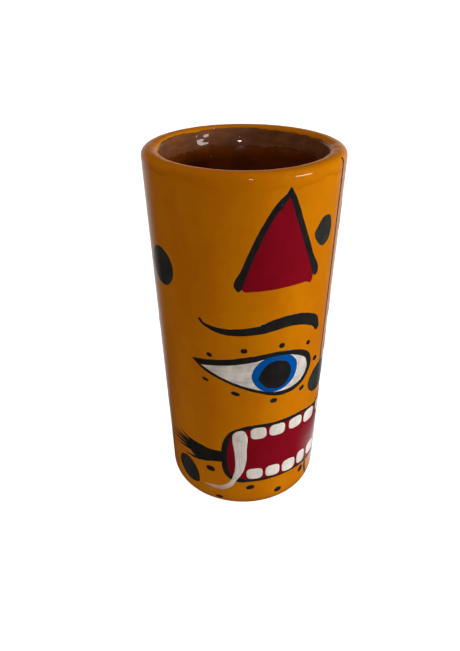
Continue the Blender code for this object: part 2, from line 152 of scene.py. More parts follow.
EYEBROW = [(-94.4, 92.7, 1.5), (-93.0, 91.5, 1.3), (-88.0, 90.0, 1.8), (-78.0, 88.7, 2.8),
           (-66.0, 88.9, 3.3), (-57.0, 89.6, 3.9), (-48.0, 91.0, 4.9), (-36.0, 91.8, 5.1),
           (-23.0, 89.9, 5.0), (-15.4, 87.3, 4.7), (-12.5, 84.4, 3.4)]
FANG = [(-74.5, 38.5), (-73.1, 31.0), (-72.6, 25.0), (-73.9, 20.3), (-77.8, 15.6),
        (-83.5, 13.5), (-91.0, 12.9), (-100.0, 12.5), (-91.0, 11.3), (-83.0, 11.3),
        (-76.8, 12.8), (-71.5, 17.0), (-67.0, 21.2), (-64.7, 26.0), (-64.0, 33.0),
        (-64.7, 41.4), (-66.3, 42.9), (-71.5, 42.7), (-74.0, 41.3)]
TUFT = [(-80.5, 30.9), (-92.0, 31.8), (-104.0, 32.4), (-112.0, 31.6), (-113.0, 28.8),
        (-108.0, 25.6), (-98.0, 24.4), (-90.0, 25.5), (-80.5, 27.2)]
# Hairs of the tuft: start, middle, tip and the width at the start
HAIRS = [((-98.0, 31.6), (-112.0, 32.9), (-122.6, 35.1), 1.7),
         ((-103.0, 30.9), (-119.0, 32.0), (-131.0, 33.6), 1.6),
         ((-104.0, 29.8), (-122.0, 30.7), (-137.0, 31.3), 1.7),
         ((-104.0, 28.7), (-122.0, 28.9), (-138.0, 28.6), 1.9),
         ((-102.0, 27.6), (-117.0, 27.3), (-130.5, 26.5), 1.7),
         ((-96.0, 25.4), (-108.0, 24.2), (-120.5, 24.3), 1.7)]
HAIR_TIP = 0.16
JAW_SPOT = [(-114.0, 22.8), (-122.0, 21.7), (-126.2, 17.6), (-123.0, 13.8), (-116.0, 11.2),
            (-109.0, 10.6), (-103.5, 11.6), (-102.8, 15.4), (-107.5, 20.6)]
FOREHEAD_SPOT = [(-24.0, 125.6), (-22.0, 127.6), (-17.5, 130.7), (-11.0, 130.3),
                 (-8.0, 125.5), (-9.5, 121.0), (-15.5, 119.0), (-21.5, 121.6)]
TEMPLE_SPOT = (-125.0, 109.5, 8.0, 8.0)

# Dots of the left side: centre, half width, half height, lean of the dab in degrees
EYE_DOTS = [(-89.0, 77.7, 1.25, 1.0, -20), (-66.5, 80.7, 1.35, 1.15, 0), (-42.1, 81.6, 1.3, 1.2, 10),
            (-20.4, 78.9, 1.3, 1.1, -35), (-10.2, 69.1, 1.7, 1.2, -15),
            (-22.8, 58.3, 1.5, 1.1, 22), (-45.9, 56.6, 1.6, 1.1, 4),
            (-72.0, 61.0, 1.85, 0.95, -16), (-92.6, 66.0, 1.45, 0.75, -22)]
CHIN_DOTS = [(-92.1, 21.3, 2.15, 1.4, -6), (-61.0, 13.3, 1.9, 1.15, 12), (-38.0, 9.4, 1.8, 1.4, 8),
             (-14.0, 14.3, 1.8, 1.5, 40)]
HEEL_DOT = (-86.0, 6.6, 1.8, 1.1, 0)

# Beads of glaze on the inside: angle, height, half width, half height and how proud they stand
DRIPS = [(173.2, 0.1432, 0.0011, 0.0019, 0.00062), (165.0, 0.1418, 0.0005, 0.0006, 0.00032),
         (139.5, 0.1397, 0.0006, 0.0007, 0.00020), (117.0, 0.1466, 0.0007, 0.0012, 0.00016)]

# Marks on the centre line. The half outlines are mirrored about it.
NOSE_HALF = [(0.0, 51.6), (-6.0, 52.0), (-12.5, 54.0), (-16.2, 57.9), (-14.6, 60.8),
             (-10.9, 63.2), (-5.5, 64.7), (0.0, 65.0)]
MOUTH_OUTER_HALF = [(0.0, 16.6), (-15.0, 16.9), (-38.0, 16.8), (-58.0, 16.3), (-74.5, 16.8),
                    (-80.6, 20.0), (-83.0, 28.0), (-81.8, 36.0), (-76.5, 41.8), (-66.0, 44.9),
                    (-45.0, 45.9), (-22.0, 46.5), (0.0, 45.0)]
MOUTH_INNER_HALF = [(0.0, 18.6), (-20.0, 18.2), (-45.0, 18.0), (-68.0, 18.3), (-75.4, 20.2),
                    (-78.2, 27.0), (-77.2, 35.5), (-73.6, 41.0), (-64.0, 43.2), (-42.0, 44.1),
                    (-20.0, 44.9), (0.0, 43.6)]
FOREHEAD_LINE = [(0.5, 65.0, 1.7), (0.9, 84.0, 1.6), (0.7, 104.0, 1.9), (0.3, 126.0, 1.8),
                 (0.6, 141.0, 1.9), (0.2, 148.6, 1.7)]
CHIN_LINE = [(-8.4, 17.2, 1.3), (-7.2, 13.4, 1.8), (-5.2, 9.2, 1.2)]

# Teeth of one side, from the corner of the mouth inwards: left and right edge, bottom and top
UPPER_TEETH = [(-61.7, -49.9, 38.5, 44.4), (-48.0, -35.2, 38.9, 44.7),
               (-32.2, -19.2, 39.4, 44.9), (-17.0, -2.6, 38.6, 44.7)]
LOWER_TEETH = [(-64.3, -51.5, 17.8, 23.4), (-49.8, -37.5, 18.0, 23.7),
               (-35.8, -22.8, 17.8, 24.0), (-20.8, -10.6, 18.2, 24.7)]
FRONT_LOWER_TOOTH = (-8.0, 6.2, 19.0, 24.9)
BACK_SPOTS = [(176.0, 124.0, 7.4, 6.6), (-163.0, 78.0, 8.2, 7.2), (168.0, 38.0, 7.0, 7.8)]


# ---------------------------------------------------------------- the thrown wall


class Cup:
    """The clay's shape: where its surface is, and how a layer lies on it."""

    def __init__(self, sizes):
        self.sizes = sizes
        self.top = sizes.height
        self.rim = sizes.rim_radius - sizes.coat
        self.base = sizes.base_radius - sizes.coat
        self.lip_foot = self.top - sizes.lip_height
        run = self.lip_foot - sizes.heel_radius
        self.slope = (self.rim - self.base) / run
        self.lean = math.atan(self.slope)
        self.foot = self.base - sizes.heel_radius * math.cos(self.lean)
        self.mouth = self.rim - sizes.wall
        points = self.section()
        steps = np.linalg.norm(np.diff(points, axis=0), axis=1)
        self.along = np.concatenate([[0.0], np.cumsum(steps)])
        ahead = np.gradient(points, self.along, axis=0)
        ahead /= np.linalg.norm(ahead, axis=1)[:, None]
        self.path = np.column_stack([points, -ahead[:, 1], ahead[:, 0]])

    def lip(self, turn):
        """Radius and height on the lip, at turns from 0 outside to pi inside."""
        sizes = self.sizes
        power = 2 / sizes.lip_squareness
        side = np.sign(np.cos(turn))
        across = np.abs(np.cos(turn)) ** power
        up = np.abs(np.sin(turn)) ** power
        slope = np.where(side > 0, self.slope, self.slope + sizes.flare)
        leaning = slope * sizes.lip_height * up * (1 - up)
        radius = self.rim - sizes.wall / 2 * (1 - side * across) + leaning
        return np.stack([radius, self.lip_foot + sizes.lip_height * up], axis=-1)

    def inner_wall(self, height):
        """Radius of the inside, which flares towards the lip."""
        sizes = self.sizes
        depth = self.lip_foot - height
        near = np.minimum(depth, sizes.flare_height)
        opening = sizes.flare * (near - near * near / (2 * sizes.flare_height))
        return self.mouth - depth * self.slope - opening

    def section(self):
        """The whole section, from the middle of the inside floor to the middle of the base."""
        sizes = self.sizes
        level = sizes.floor + sizes.inside_radius
        middle = self.inner_wall(level) - sizes.inside_radius
        floor = [(radius, sizes.floor) for radius in np.linspace(0, middle, 14)]
        corner = [(middle + sizes.inside_radius * math.sin(turn),
                   level - sizes.inside_radius * math.cos(turn))
                  for turn in np.linspace(0, math.pi / 2, 14)[1:]]
        rows = int((self.lip_foot - level) / ROW)
        rise = np.linspace(level, self.lip_foot, rows)[1:-1]
        inner = np.column_stack([self.inner_wall(rise), rise])
        crest = self.lip(np.linspace(math.pi, 0, LIP_POINTS))
        heel_top = sizes.heel_radius * (1 - math.sin(self.lean))
        fall = np.linspace(self.lip_foot, heel_top, rows)[1:-1]
        outer = np.column_stack([self.rim - (self.lip_foot - fall) * self.slope, fall])
        heel = [(self.foot + sizes.heel_radius * math.cos(turn),
                 sizes.heel_radius * (1 - math.sin(turn)))
                for turn in np.linspace(self.lean, math.pi / 2, 22)]
        ring = self.foot - sizes.foot_ring
        base = [(radius, 0.0) for radius in np.linspace(self.foot, ring, 6)[1:]]
        hollow = [(ring - sizes.foot_recess * step, sizes.foot_recess * step)
                  for step in (0.35, 0.7)]
        hollow += [(radius, sizes.foot_recess)
                   for radius in np.linspace(ring - 1.3 * sizes.foot_recess, 0.0, 10)]
        start = len(floor) + len(corner) + len(inner)
        self.outside = slice(start + LIP_POINTS // 2, start + LIP_POINTS + len(outer) + len(heel))
        return np.concatenate([floor, corner, inner, crest, outer, heel, base, hollow])

    def landmark(self, radius, height):
        """Distance along the section of the place nearest to a radius and height."""
        gaps = np.hypot(self.path[:, 0] - radius, self.path[:, 1] - height)
        return self.along[int(np.argmin(gaps))]

    def at(self, distance):
        """Radius, height and outward direction at distances along the section."""
        columns = [np.interp(distance, self.along, self.path[:, index]) for index in range(4)]
        return np.stack(columns, axis=-1)

    def wall(self, height):
        """Radius, height and outward direction on the outside at heights on the layout."""
        z = np.asarray(height, dtype=float) * self.sizes.height / LAYOUT_HEIGHT
        z = np.minimum(z, self.top - 0.0001)    # the crest itself faces up
        rising = self.path[self.outside][::-1]
        columns = [np.interp(z, rising[:, 1], rising[:, index]) for index in (0, 2, 3)]
        return np.stack([columns[0], z, columns[1], columns[2]], axis=-1)

    def unevenness(self, degrees, height, facing):
        """How far the thrown clay stands proud, in metres, different inside and outside."""
        turn = np.radians(degrees)
        share = (facing + 1) / 2
        rise = height / self.top
        wide, close = 0.0093, 0.0051        # between the rings that the fingers left
        rings = np.sin(math.tau * height / wide + 1.3 * np.sin(turn + 2 * rise))
        rings += 0.6 * np.sin(math.tau * height / close + 0.9 * np.sin(2 * turn + 1))
        outside = 0.00007 * rise * np.sin(2 * turn + 0.7)
        outside += 0.00005 * np.sin(3 * turn - 5 * rise) + 0.00003 * np.sin(5 * turn + 9 * rise)
        outside += 0.000010 * rings
        lumps = np.sin(19 * turn + 2.3 * np.sin(5 * turn) + 900 * height)
        lumps *= np.sin(11 * turn - 1.7 * np.sin(3 * turn) - 700 * height)
        inside = 0.00010 * rise * np.sin(2 * turn + 2.1) + 0.00005 * np.sin(4 * turn + 8 * rise)
        inside += 0.000040 * rings + 0.00004 * lumps * rise**4
        rooted = np.clip(height / 0.02, 0.0, 1.0)       # the foot stands flat
        lip = np.clip((height - self.lip_foot) / self.sizes.lip_height, 0.0, 1.0)
        lip = 0.00002 * lip * np.sin(29 * turn + 3 * np.sin(4 * turn)) * (0.6 + np.sin(5 * turn))
        return (share * outside + (1 - share) * inside) * rooted + lip

    def lay(self, degrees, place, thickness):
        """Points of a layer over places of the clay, each (radius, height, direction)."""
        radius, height, sideways, upwards = np.moveaxis(place, -1, 0)
        proud = thickness + self.unevenness(degrees, height, sideways)
        radius = radius + sideways * proud
        turn = np.radians(degrees)
        z = height + upwards * proud
        return np.stack([radius * np.sin(turn), -radius * np.cos(turn), z], axis=-1)


def new_piece(name, points, faces, material, nodes=()):
    """A finished piece that rides on the cup and stands for its nodes of the frame."""
    mesh = bpy.data.meshes.new(name)
    mesh.from_pydata([tuple(point) for point in points], [], faces)
    mesh.shade_smooth()
    mesh.materials.append(material)
    piece = bpy.data.objects.new(name, mesh)
    bpy.context.scene.collection.objects.link(piece)
    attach(piece, BODY)
    if nodes:
        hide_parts(*nodes)
    return piece


def rounded(depth, bead):
    """Share of the full thickness at a depth in from the edge of a layer."""
    inward = np.clip(depth / bead, 0.0, 1.0)
    return np.sqrt(1 - (1 - inward) ** 2)


def neighbours(rows):
    """First points of each column of a turned surface and of the column after it."""
    return [(column * rows, (column + 1) % ROUND * rows) for column in range(ROUND)]


def strip(here, following, rows):
    """Quads between two neighbouring columns."""
    return [(here + row, here + row + 1, following + row + 1, following + row)
            for row in range(rows - 1)]


def ripple(angle, waves, seed):
    """Smooth random value from -1 to 1 round the cup, with more waves for a larger number."""
    turn = math.radians(angle)
    return noise.noise(Vector((waves * math.sin(turn), waves * math.cos(turn), seed)))


def girdle(cup, start, end, thickness, bead, rows):
    """Points and faces of a layer all round the cup, from one edge to the other.

    start and end give the distance along the section at each angle in degrees. An edge at the
    middle of the floor or the base closes to a point.
    """
    first = np.array([start(angle) for angle in ANGLES])[:, None]
    last = np.array([end(angle) for angle in ANGLES])[:, None]
    crowded = (1 - np.cos(np.linspace(0, math.pi, rows))) / 2
    share = 0.35 * crowded + 0.65 * np.linspace(0, 1, rows)
    distance = first + (last - first) * share[None, :]
    place = cup.at(distance)
    degrees = np.broadcast_to(ANGLES[:, None], distance.shape)
    closes = (np.min(first) <= 0.0, np.max(last) >= cup.along[-1])
    from_start = np.full(distance.shape, bead) if closes[0] else distance - first
    from_end = np.full(distance.shape, bead) if closes[1] else last - distance
    depth = np.minimum(from_start, from_end)
    top = cup.lay(degrees, place, (thickness + SUNK) * rounded(depth, bead) - SUNK)
    under = cup.lay(degrees, place, -np.full(distance.shape, 2 * SUNK))
    points = np.concatenate([top.reshape(-1, 3), under.reshape(-1, 3)])
    faces = []
    size = ROUND * rows
    for here, following in neighbours(rows):
        for quad in strip(here, following, rows):
            faces.append(quad)
            faces.append(tuple(size + index for index in reversed(quad)))
        if not closes[0]:
            faces.append((following, size + following, size + here, here))
        if not closes[1]:
            edge, beside = here + rows - 1, following + rows - 1
            faces.append((edge, size + edge, size + beside, beside))
    return points, faces


def weld_axis(piece):
    """Merge the points of a piece that meet on the cup's axis."""
    weld = piece.modifiers.new("Close on the axis", "WELD")
    weld.merge_threshold = 0.000002


# ---------------------------------------------------------------- brushwork


def degree_width(height):
    """Millimetres along the wall in one degree, at a height on the layout."""
    sizes = bpy.context.scene.tumbler_sizes
    rise = height / LAYOUT_HEIGHT
    radius = sizes.base_radius + (sizes.rim_radius - sizes.base_radius) * rise
    return math.radians(1) * radius / MILLIMETRE


def smooth(points, corners=(), closed=True, spacing=0.5):
    """Points on a curve through the given ones, which turns sharply only at the corners."""
    path = np.array(points, dtype=float)
    metric = np.ones(path.shape[1])
    metric[0] = degree_width(path[:, 1].mean())
    count = len(path)
    ends = set(corners) if closed else set(corners) | {0, count - 1}

    def length(step):
        return np.linalg.norm((step * metric)[:2])

    def tangent(index, chord):
        """Unit-speed direction at a point, or along one chord where the curve has a corner."""
        if index % count in ends:
            return chord / length(chord)
        back = path[index % count] - path[index - 1]
        ahead = path[(index + 1) % count] - path[index % count]
        back_length, ahead_length = length(back), length(ahead)
        weighted = back / back_length * ahead_length + ahead / ahead_length * back_length
        return weighted / (back_length + ahead_length)

    curve = []
    for index in range(count if closed else count - 1):
        start, end = path[index], path[(index + 1) % count]
        chord = end - start
        leave = tangent(index, chord) * length(chord)
        arrive = tangent(index + 1, chord) * length(chord)
        steps = max(1, round(length(chord) / spacing))
        for t in np.arange(steps) / steps:
            curve.append((2 * t**3 - 3 * t**2 + 1) * start + (t**3 - 2 * t**2 + t) * leave
                         + (3 * t**2 - 2 * t**3) * end + (t**3 - t**2) * arrive)
    if not closed:
        curve.append(path[-1])
    return np.array(curve)


def stroke(path, spacing=0.5):
    """Outline of a brush stroke along (degrees, millimetres, width) points."""
    points = smooth(path, closed=False, spacing=spacing)
    metric = np.array([degree_width(points[:, 1].mean()), 1.0])
    flat = points[:, :2] * metric
    radii = points[:, 2:] / 2
    along = np.gradient(flat, axis=0)
    along /= np.linalg.norm(along, axis=1)[:, None]
    across = np.stack([-along[:, 1], along[:, 0]], axis=1)
    outline = [flat + across * radii, round_end(flat[-1], along[-1], across[-1], radii[-1]),
               (flat - across * radii)[::-1],
               round_end(flat[0], -along[0], -across[0], radii[0])]
    return np.vstack(outline) / metric


def round_end(centre, ahead, across, radius):
    """Half a circle that closes the end of a stroke, without its two end points."""
    turns = np.linspace(0, math.pi, 9)[1:-1, None]
    return centre + radius * (np.cos(turns) * across + np.sin(turns) * ahead)


def blob(angle, height, half_width, half_height, lean=0.0, squareness=2.0):
    """Outline of a dab of the brush, from an ellipse to a rounded rectangle."""
    power = 2 / squareness
    count = max(16, int(2 * math.pi * half_width / 0.4))
    turn = math.tau * (np.arange(count) + 0.5) / count
    across = np.copysign(np.abs(np.cos(turn)) ** power, np.cos(turn)) * half_width
    up = np.copysign(np.abs(np.sin(turn)) ** power, np.sin(turn)) * half_height
    tilt = math.radians(lean)
    sideways = across * math.cos(tilt) - up * math.sin(tilt)
    upwards = across * math.sin(tilt) + up * math.cos(tilt)
    return np.stack([angle + sideways / degree_width(height), height + upwards], axis=1)


def tooth(left, right, bottom, top, seed):
    """Outline of a tooth: one square dab, a little different each time."""
    height = (bottom + top) / 2
    half_width = (right - left) / 2 * degree_width(height)
    lean = 5 * noise.noise(Vector((seed, 3.7, 0)))
    return blob((left + right) / 2, height, half_width, (top - bottom) / 2, lean, 3.0)


def both_sides(outlines):
    """The outlines of a mark on the left, and the same turned over for the right."""
    return ("left", outlines), ("right", [outline * np.array([-1.0, 1.0]) for outline in outlines])


def both_halves(half):
    """A closed outline from its left half, which starts and ends on the centre line."""
    return smooth(half + [(-angle, height) for angle, height in half[-2:0:-1]])


def widened(points, distance):
    """The points of an outline moved away from its middle: up or down by a distance in
    millimetres, and half as far sideways. Points on the centre line stay on it."""
    middle = np.mean(points, axis=0)
    sideways = 0.5 * distance / degree_width(middle[1])
    moved = []
    for angle, height in points:
        step = 0.0 if abs(angle) < 1e-6 else math.copysign(sideways, angle - middle[0])
        moved.append((angle + step, height + math.copysign(distance, height - middle[1])))
    return moved


def distance_to(outlines, points):
    """Distance of points to the nearest edge of closed outlines, in their flat units."""
    nearest = np.full(len(points), np.inf)
    for outline in outlines:
        step = np.roll(outline, -1, axis=0) - outline
        squares = np.maximum(np.sum(step * step, axis=1), 1e-12)
        for first in range(0, len(points), BATCH):
            batch = slice(first, first + BATCH)
            away = points[batch, None, :] - outline[None]
            share = np.clip(np.sum(away * step, axis=2) / squares, 0, 1)
            gap = np.linalg.norm(away - share[..., None] * step, axis=2).min(axis=1)
            nearest[batch] = np.minimum(nearest[batch], gap)
    return nearest


def within(outlines, points):
    """Whether points lie inside the first outline and outside the others."""
    inside = np.zeros(len(points), dtype=bool)
    for outline in outlines:
        following = np.roll(outline, -1, axis=0)
        for (x1, y1), (x2, y2) in zip(outline, following):
            if y1 == y2:
                continue
            crosses = (points[:, 1] < y1) != (points[:, 1] < y2)
            reach = x1 + (points[:, 1] - y1) / (y2 - y1) * (x2 - x1)
            inside ^= crosses & (points[:, 0] < reach)
    return inside


def by_hand(outline, seed, amount=0.09, stretch=2.6):
    """An outline, in flat millimetres, with the small wavering of a brush."""
    wavering = [noise.noise_vector(Vector((x / stretch, y / stretch, seed)))[:2]
                for x, y in outline]
    return outline + amount * np.array(wavering)


def film(cup, name, outlines, coats, material, nodes, spacing):
    """A film of enamel with rounded edges, as a closed piece on the wall.

    The first outline is its edge and the others are holes. coats is how many thicknesses of
    enamel its top stands above the ochre coat.
    """
    metric = np.array([degree_width(outlines[0][:, 1].mean()), 1.0])
    seed = sum(ord(letter) for letter in name) * 0.37
    flat = [by_hand(outline * metric, seed) for outline in outlines]
    bead = cup.sizes.bead / MILLIMETRE
    points, faces, depth = triangulated(flat, bead, spacing)
    sheet = points / metric
    place = cup.wall(sheet[:, 1])
    coat = cup.sizes.coat
    rise = coats * cup.sizes.paint + SUNK
    top = cup.lay(sheet[:, 0], place, coat - SUNK + rise * rounded(depth, bead))
    inner = depth >= 1e-4           # the points on the edge belong to the top and the underside
    count = np.count_nonzero(inner)
    under = cup.lay(sheet[inner, 0], place[inner], np.full(count, coat - 2 * SUNK))
    under_index = np.arange(len(points))
    under_index[inner] = len(points) + np.arange(count)
    below = [tuple(int(under_index[index]) for index in reversed(face)) for face in faces]
    return new_piece(name, np.concatenate([top, under]), faces + below, material, nodes)


def triangulated(outlines, bead, spacing):
    """Points, triangles and depth from the edge of a flat shape, finer along its edge."""
    low = np.min(outlines[0], axis=0)
    high = np.max(outlines[0], axis=0)
    columns = np.arange(low[0], high[0], spacing)
    rows = np.arange(low[1], high[1], spacing * 0.87)
    grid = np.array([(x + (index % 2) * spacing / 2, y)
                     for index, y in enumerate(rows) for x in columns]).reshape(-1, 2)
    grid = grid[within(outlines, grid)]
    grid = grid[distance_to(outlines, grid) > bead * 1.35]
    rings = []
    for inset in (0.22 * bead, 0.55 * bead, bead):
        for outline in outlines:
            ahead = np.roll(outline, -1, axis=0) - np.roll(outline, 1, axis=0)
            ahead /= np.maximum(np.linalg.norm(ahead, axis=1), 1e-9)[:, None]
            for side in (-1, 1):
                ring = outline + side * inset * np.stack([-ahead[:, 1], ahead[:, 0]], axis=1)
                ring = ring[within(outlines, ring)]
                rings.append(ring[distance_to(outlines, ring) > inset * 0.93])
    inner = np.concatenate([grid] + rings)
    count = 0
    edges = []
    for outline in outlines:
        size = len(outline)
        edges += [(count + index, count + (index + 1) % size) for index in range(size)]
        count += size
    flat = np.concatenate(list(outlines) + [inner])
    corners = [Vector(point) for point in flat]
    points, _, faces, *_ = delaunay_2d_cdt(corners, edges, [], 0, 1e-5)
    points = np.array([tuple(point) for point in points])
    centres = np.array([points[list(face)].mean(axis=0) for face in faces])
    kept = [tuple(face) for face, good in zip(faces, within(outlines, centres)) if good]
    used = sorted({index for face in kept for index in face})
    renumber = {old: new for new, old in enumerate(used)}
    kept = [tuple(renumber[index] for index in face) for face in kept]
    points = points[used]
    return points, kept, distance_to(outlines, points)


# ---------------------------------------------------------------- materials

LACQUER = {"Coat_Weight": 1.0, "Coat_Roughness": 0.04, "Coat_IOR": 1.32,
           "Specular_IOR_Level": 0.01}
EVEN = (1.0, 1.0, 1.0)              # how brush marks are stretched, by numbers under 1
ALONG_RINGS = (0.16, 0.16, 1.0)
UP_AND_DOWN = (1.0, 1.0, 0.14)


class Wire:
    """An output of a node that can be used in sums, so that shader maths reads as Python."""

    def __init__(self, finish, socket):
        self.finish = finish
        self.socket = socket

    def maths(self, operation, first, second):
        """A Math node on two values or wires."""
        return self.finish.node("ShaderNodeMath", {"operation": operation}, {0: first, 1: second})

    def __add__(self, other):
        return self.maths("ADD", self, other)

    __radd__ = __add__

    def __sub__(self, other):
        return self.maths("SUBTRACT", self, other)

    def __rsub__(self, other):
        return self.maths("SUBTRACT", other, self)

    def __mul__(self, other):
        return self.maths("MULTIPLY", self, other)

    __rmul__ = __mul__


class Nodes:
    """Adds the nodes of one tree and fills their sockets."""

    def __init__(self, tree):
        self.tree = tree

    def fill(self, socket, value):
        """Give a socket a value or a wire."""
        if isinstance(value, Wire):
            self.tree.links.new(value.socket, socket)
        elif socket.type == "RGBA":
            socket.default_value = (*value, 1.0)
        else:
            socket.default_value = value

    def node(self, kind, settings=None, sockets=None, output=0):
        """Add a node with its settings and the values or wires of its sockets."""
        made = self.tree.nodes.new(kind)
        for label, value in (settings or {}).items():
            setattr(made, label, value)
        for label, value in (sockets or {}).items():
            self.fill(made.inputs[label], value)
        return Wire(self, made.outputs[output])

    def step(self, value, low, high, to_low=0.0, to_high=1.0):
        """A soft step of a value from one number to another."""
        return self.node("ShaderNodeMapRange", {"interpolation_type": "SMOOTHSTEP"}, {
            "Value": value, "From Min": low, "From Max": high,
            "To Min": to_low, "To Max": to_high})


def deeper(colour, share):
    """A colour at a share of its brightness."""
    return tuple(share * value for value in colour)


class Finish(Nodes):
    """Makes one material: a Principled shader and the nodes that feed it."""

    def __init__(self, name, roughness, **fixed):
        self.material = bpy.data.materials.new(name)
        self.material.use_nodes = True
        super().__init__(self.material.node_tree)
        self.shader = self.tree.nodes["Principled BSDF"]
        self.set("Roughness", roughness)
        for label, value in fixed.items():
            self.set(label.replace("_", " "), value)

    def set(self, label, value):
        """Give one socket of the shader a value or a wire."""
        self.fill(self.shader.inputs[label], value)

    def where(self, stretch=EVEN):
        """Place on the cup in millimetres, stretched along an axis by a smaller number."""
        at = self.node("ShaderNodeTexCoord", output="Object")
        scale = tuple(value / MILLIMETRE for value in stretch)
        return self.node("ShaderNodeVectorMath", {"operation": "MULTIPLY"}, {0: at, 1: scale})

    def height(self):
        """Height on the cup, in millimetres."""
        return self.node("ShaderNodeSeparateXYZ", {}, {0: self.where()}, output="Z")

    def noise(self, size, stretch=EVEN, detail=3.0, roughness=0.55):
        """Smooth random values about 0.5, in features of a size in millimetres."""
        return self.node("ShaderNodeTexNoise", {}, {
            "Vector": self.where(stretch), "Scale": 1 / size, "Detail": detail,
            "Roughness": roughness})

    def blend(self, share, low, high):
        """One colour into another by a share."""
        return self.node("ShaderNodeMix", {"data_type": "RGBA"}, {0: share, 6: low, 7: high}, output=2)

    def bump(self, height, depth, strength=1.0):
        """Surface relief from a height of 0 to 1, to a depth in millimetres."""
        relief = self.node("ShaderNodeBump", {}, {
            "Height": height, "Distance": depth * MILLIMETRE, "Strength": strength})
        self.set("Normal", relief)


def ochre_finish(colours):
    """Ochre enamel: faint clouds and brush marks, a ragged second coat and dust on the lip."""
    finish = Finish("ochre_enamel", 0.42, **LACQUER)
    cloud = finish.noise(16.0, (1.0, 1.0, 0.45))
    blotch = finish.noise(3.6, (1.0, 1.0, 0.6))
    shade = finish.step(0.7 * cloud + 0.3 * blotch, 0.34, 0.66)
    colour = finish.blend(shade, colours.ochre_deep, colours.ochre)
    speck = finish.step(finish.noise(0.9, detail=1.0), 0.765, 0.80)
    colour = finish.blend(0.4 * speck, colour, (0.25, 0.07, 0.002))
    sag = 9.0 * finish.noise(19.0, detail=1.0) + 1.6 * finish.noise(3.4, detail=4.0)
    edge = finish.height() + sag
    start, full, spent = 150.0, 150.3, 152.6    # heights, with the sag, at which it thickens
    second = finish.step(edge, start, full)
    pooled = second * finish.step(edge, spent, full) * finish.step(cloud, 0.42, 0.58)
    colour = finish.blend(0.30 * pooled, colour, (0.33, 0.085, 0.001))
    crest = finish.step(finish.height() + 1.5 * finish.noise(5.0), 148.6, 150.8)
    thin = crest * finish.step(finish.noise(1.6, detail=5.0), 0.30, 0.75)
    finish.set("Base Color", finish.blend(0.5 * thin, colour, (0.50, 0.205, 0.006)))
    finish.set("Roughness", 0.40 + 0.2 * crest)
    finish.set("Coat Weight", 1.0 - 0.4 * crest)
    finish.bump(0.75 * second + 0.25 * blotch, 0.05)
    return finish.material


def enamel_finish(name, colour, deep, grain=UP_AND_DOWN, amount=0.35, depth=0.012):
    """Brushed enamel under clear lacquer, with streaks of a second shade along the grain."""
    finish = Finish(name, 0.38, **LACQUER)
    streak = finish.noise(1.6, grain, detail=4.0, roughness=0.6)
    cloud = finish.noise(6.0)
    shade = finish.step(0.35 * streak + 0.65 * cloud, 0.36, 0.66)
    finish.set("Base Color", finish.blend(amount * shade, colour, deep))
    finish.set("Roughness", 0.32 + 0.15 * streak)
    finish.bump(0.5 * streak + 0.5 * cloud, depth)
    return finish.material


def fang_finish(colours):
    """White enamel laid in one long stroke, smudged with grey and thin at its tail."""
    finish = Finish("fang_enamel", 0.38, **LACQUER)
    streak = finish.noise(0.8, UP_AND_DOWN, detail=5.0, roughness=0.65)
    smudge = finish.step(finish.noise(3.4), 0.54, 0.72)
    colour = finish.blend(0.50 * finish.step(streak, 0.35, 0.7), colours.white, (0.46, 0.43, 0.40))
    colour = finish.blend(0.45 * smudge, colour, (0.40, 0.40, 0.40))
    thin = finish.step(finish.height() + 4.0 * (streak - 0.5), 17.5, 10.5)
    finish.set("Base Color", finish.blend(0.62 * thin, colour, (0.47, 0.20, 0.075)))
    finish.set("Roughness", 0.30 + 0.2 * streak)
    finish.bump(streak, 0.02)
    return finish.material


def lining_finish(colours):
    """Brown glaze: deep and wet, a little lighter where it ran thin over the throwing rings."""
    finish = Finish("lining_glaze", 0.10, Specular_IOR_Level=0.5)
    cloud = finish.noise(9.0, (1.0, 1.0, 0.6), detail=4.0)
    rings = finish.noise(3.0, ALONG_RINGS)
    shade = finish.step(0.5 * cloud + 0.5 * rings, 0.35, 0.65)
    finish.set("Base Color", finish.blend(shade, deeper(colours.lining, 0.55), colours.lining))
    finish.set("Roughness", 0.07 + 0.16 * cloud)
    finish.bump(0.6 * rings + 0.4 * finish.noise(1.6), 0.05)
    return finish.material


def band_finish(colours):
    """The brown band inside the lip, brushed on more thickly and less evenly."""
    finish = Finish("brown_enamel", 0.45, Coat_Weight=1.0, Coat_Roughness=0.03, Coat_IOR=1.36,
                    Specular_IOR_Level=0.1)
    streak = finish.noise(1.1, ALONG_RINGS, detail=5.0, roughness=0.6)
    cloud = finish.noise(6.0)
    run = finish.noise(0.8, (1.0, 1.0, 0.5), detail=2.0)
    shade = finish.step(0.5 * cloud + 0.5 * streak, 0.36, 0.66)
    finish.set("Base Color", finish.blend(shade, deeper(colours.band, 0.6), colours.band))
    finish.set("Roughness", 0.36 + 0.18 * cloud)
    finish.bump(0.3 * streak + 0.7 * run, 0.12)
    return finish.material


def clay_finish(colours):
    """Bare fired clay: matt, sandy, with darker grog and turning marks."""
    finish = Finish("fired_clay", 0.88)
    grain = finish.noise(0.55, detail=4.0, roughness=0.7)
    cloud = finish.noise(11.0)
    grog = finish.step(finish.noise(1.1, detail=1.0), 0.66, 0.74)
    shade = finish.step(0.5 * grain + 0.5 * cloud, 0.36, 0.64)
    colour = finish.blend(shade, deeper(colours.clay, 0.62), colours.clay)
    finish.set("Base Color", finish.blend(0.5 * grog, colour, (0.12, 0.05, 0.03)))
    finish.set("Roughness", 0.80 + 0.15 * grain)
    finish.bump(0.6 * grain + 0.4 * grog, 0.12)
    return finish.material


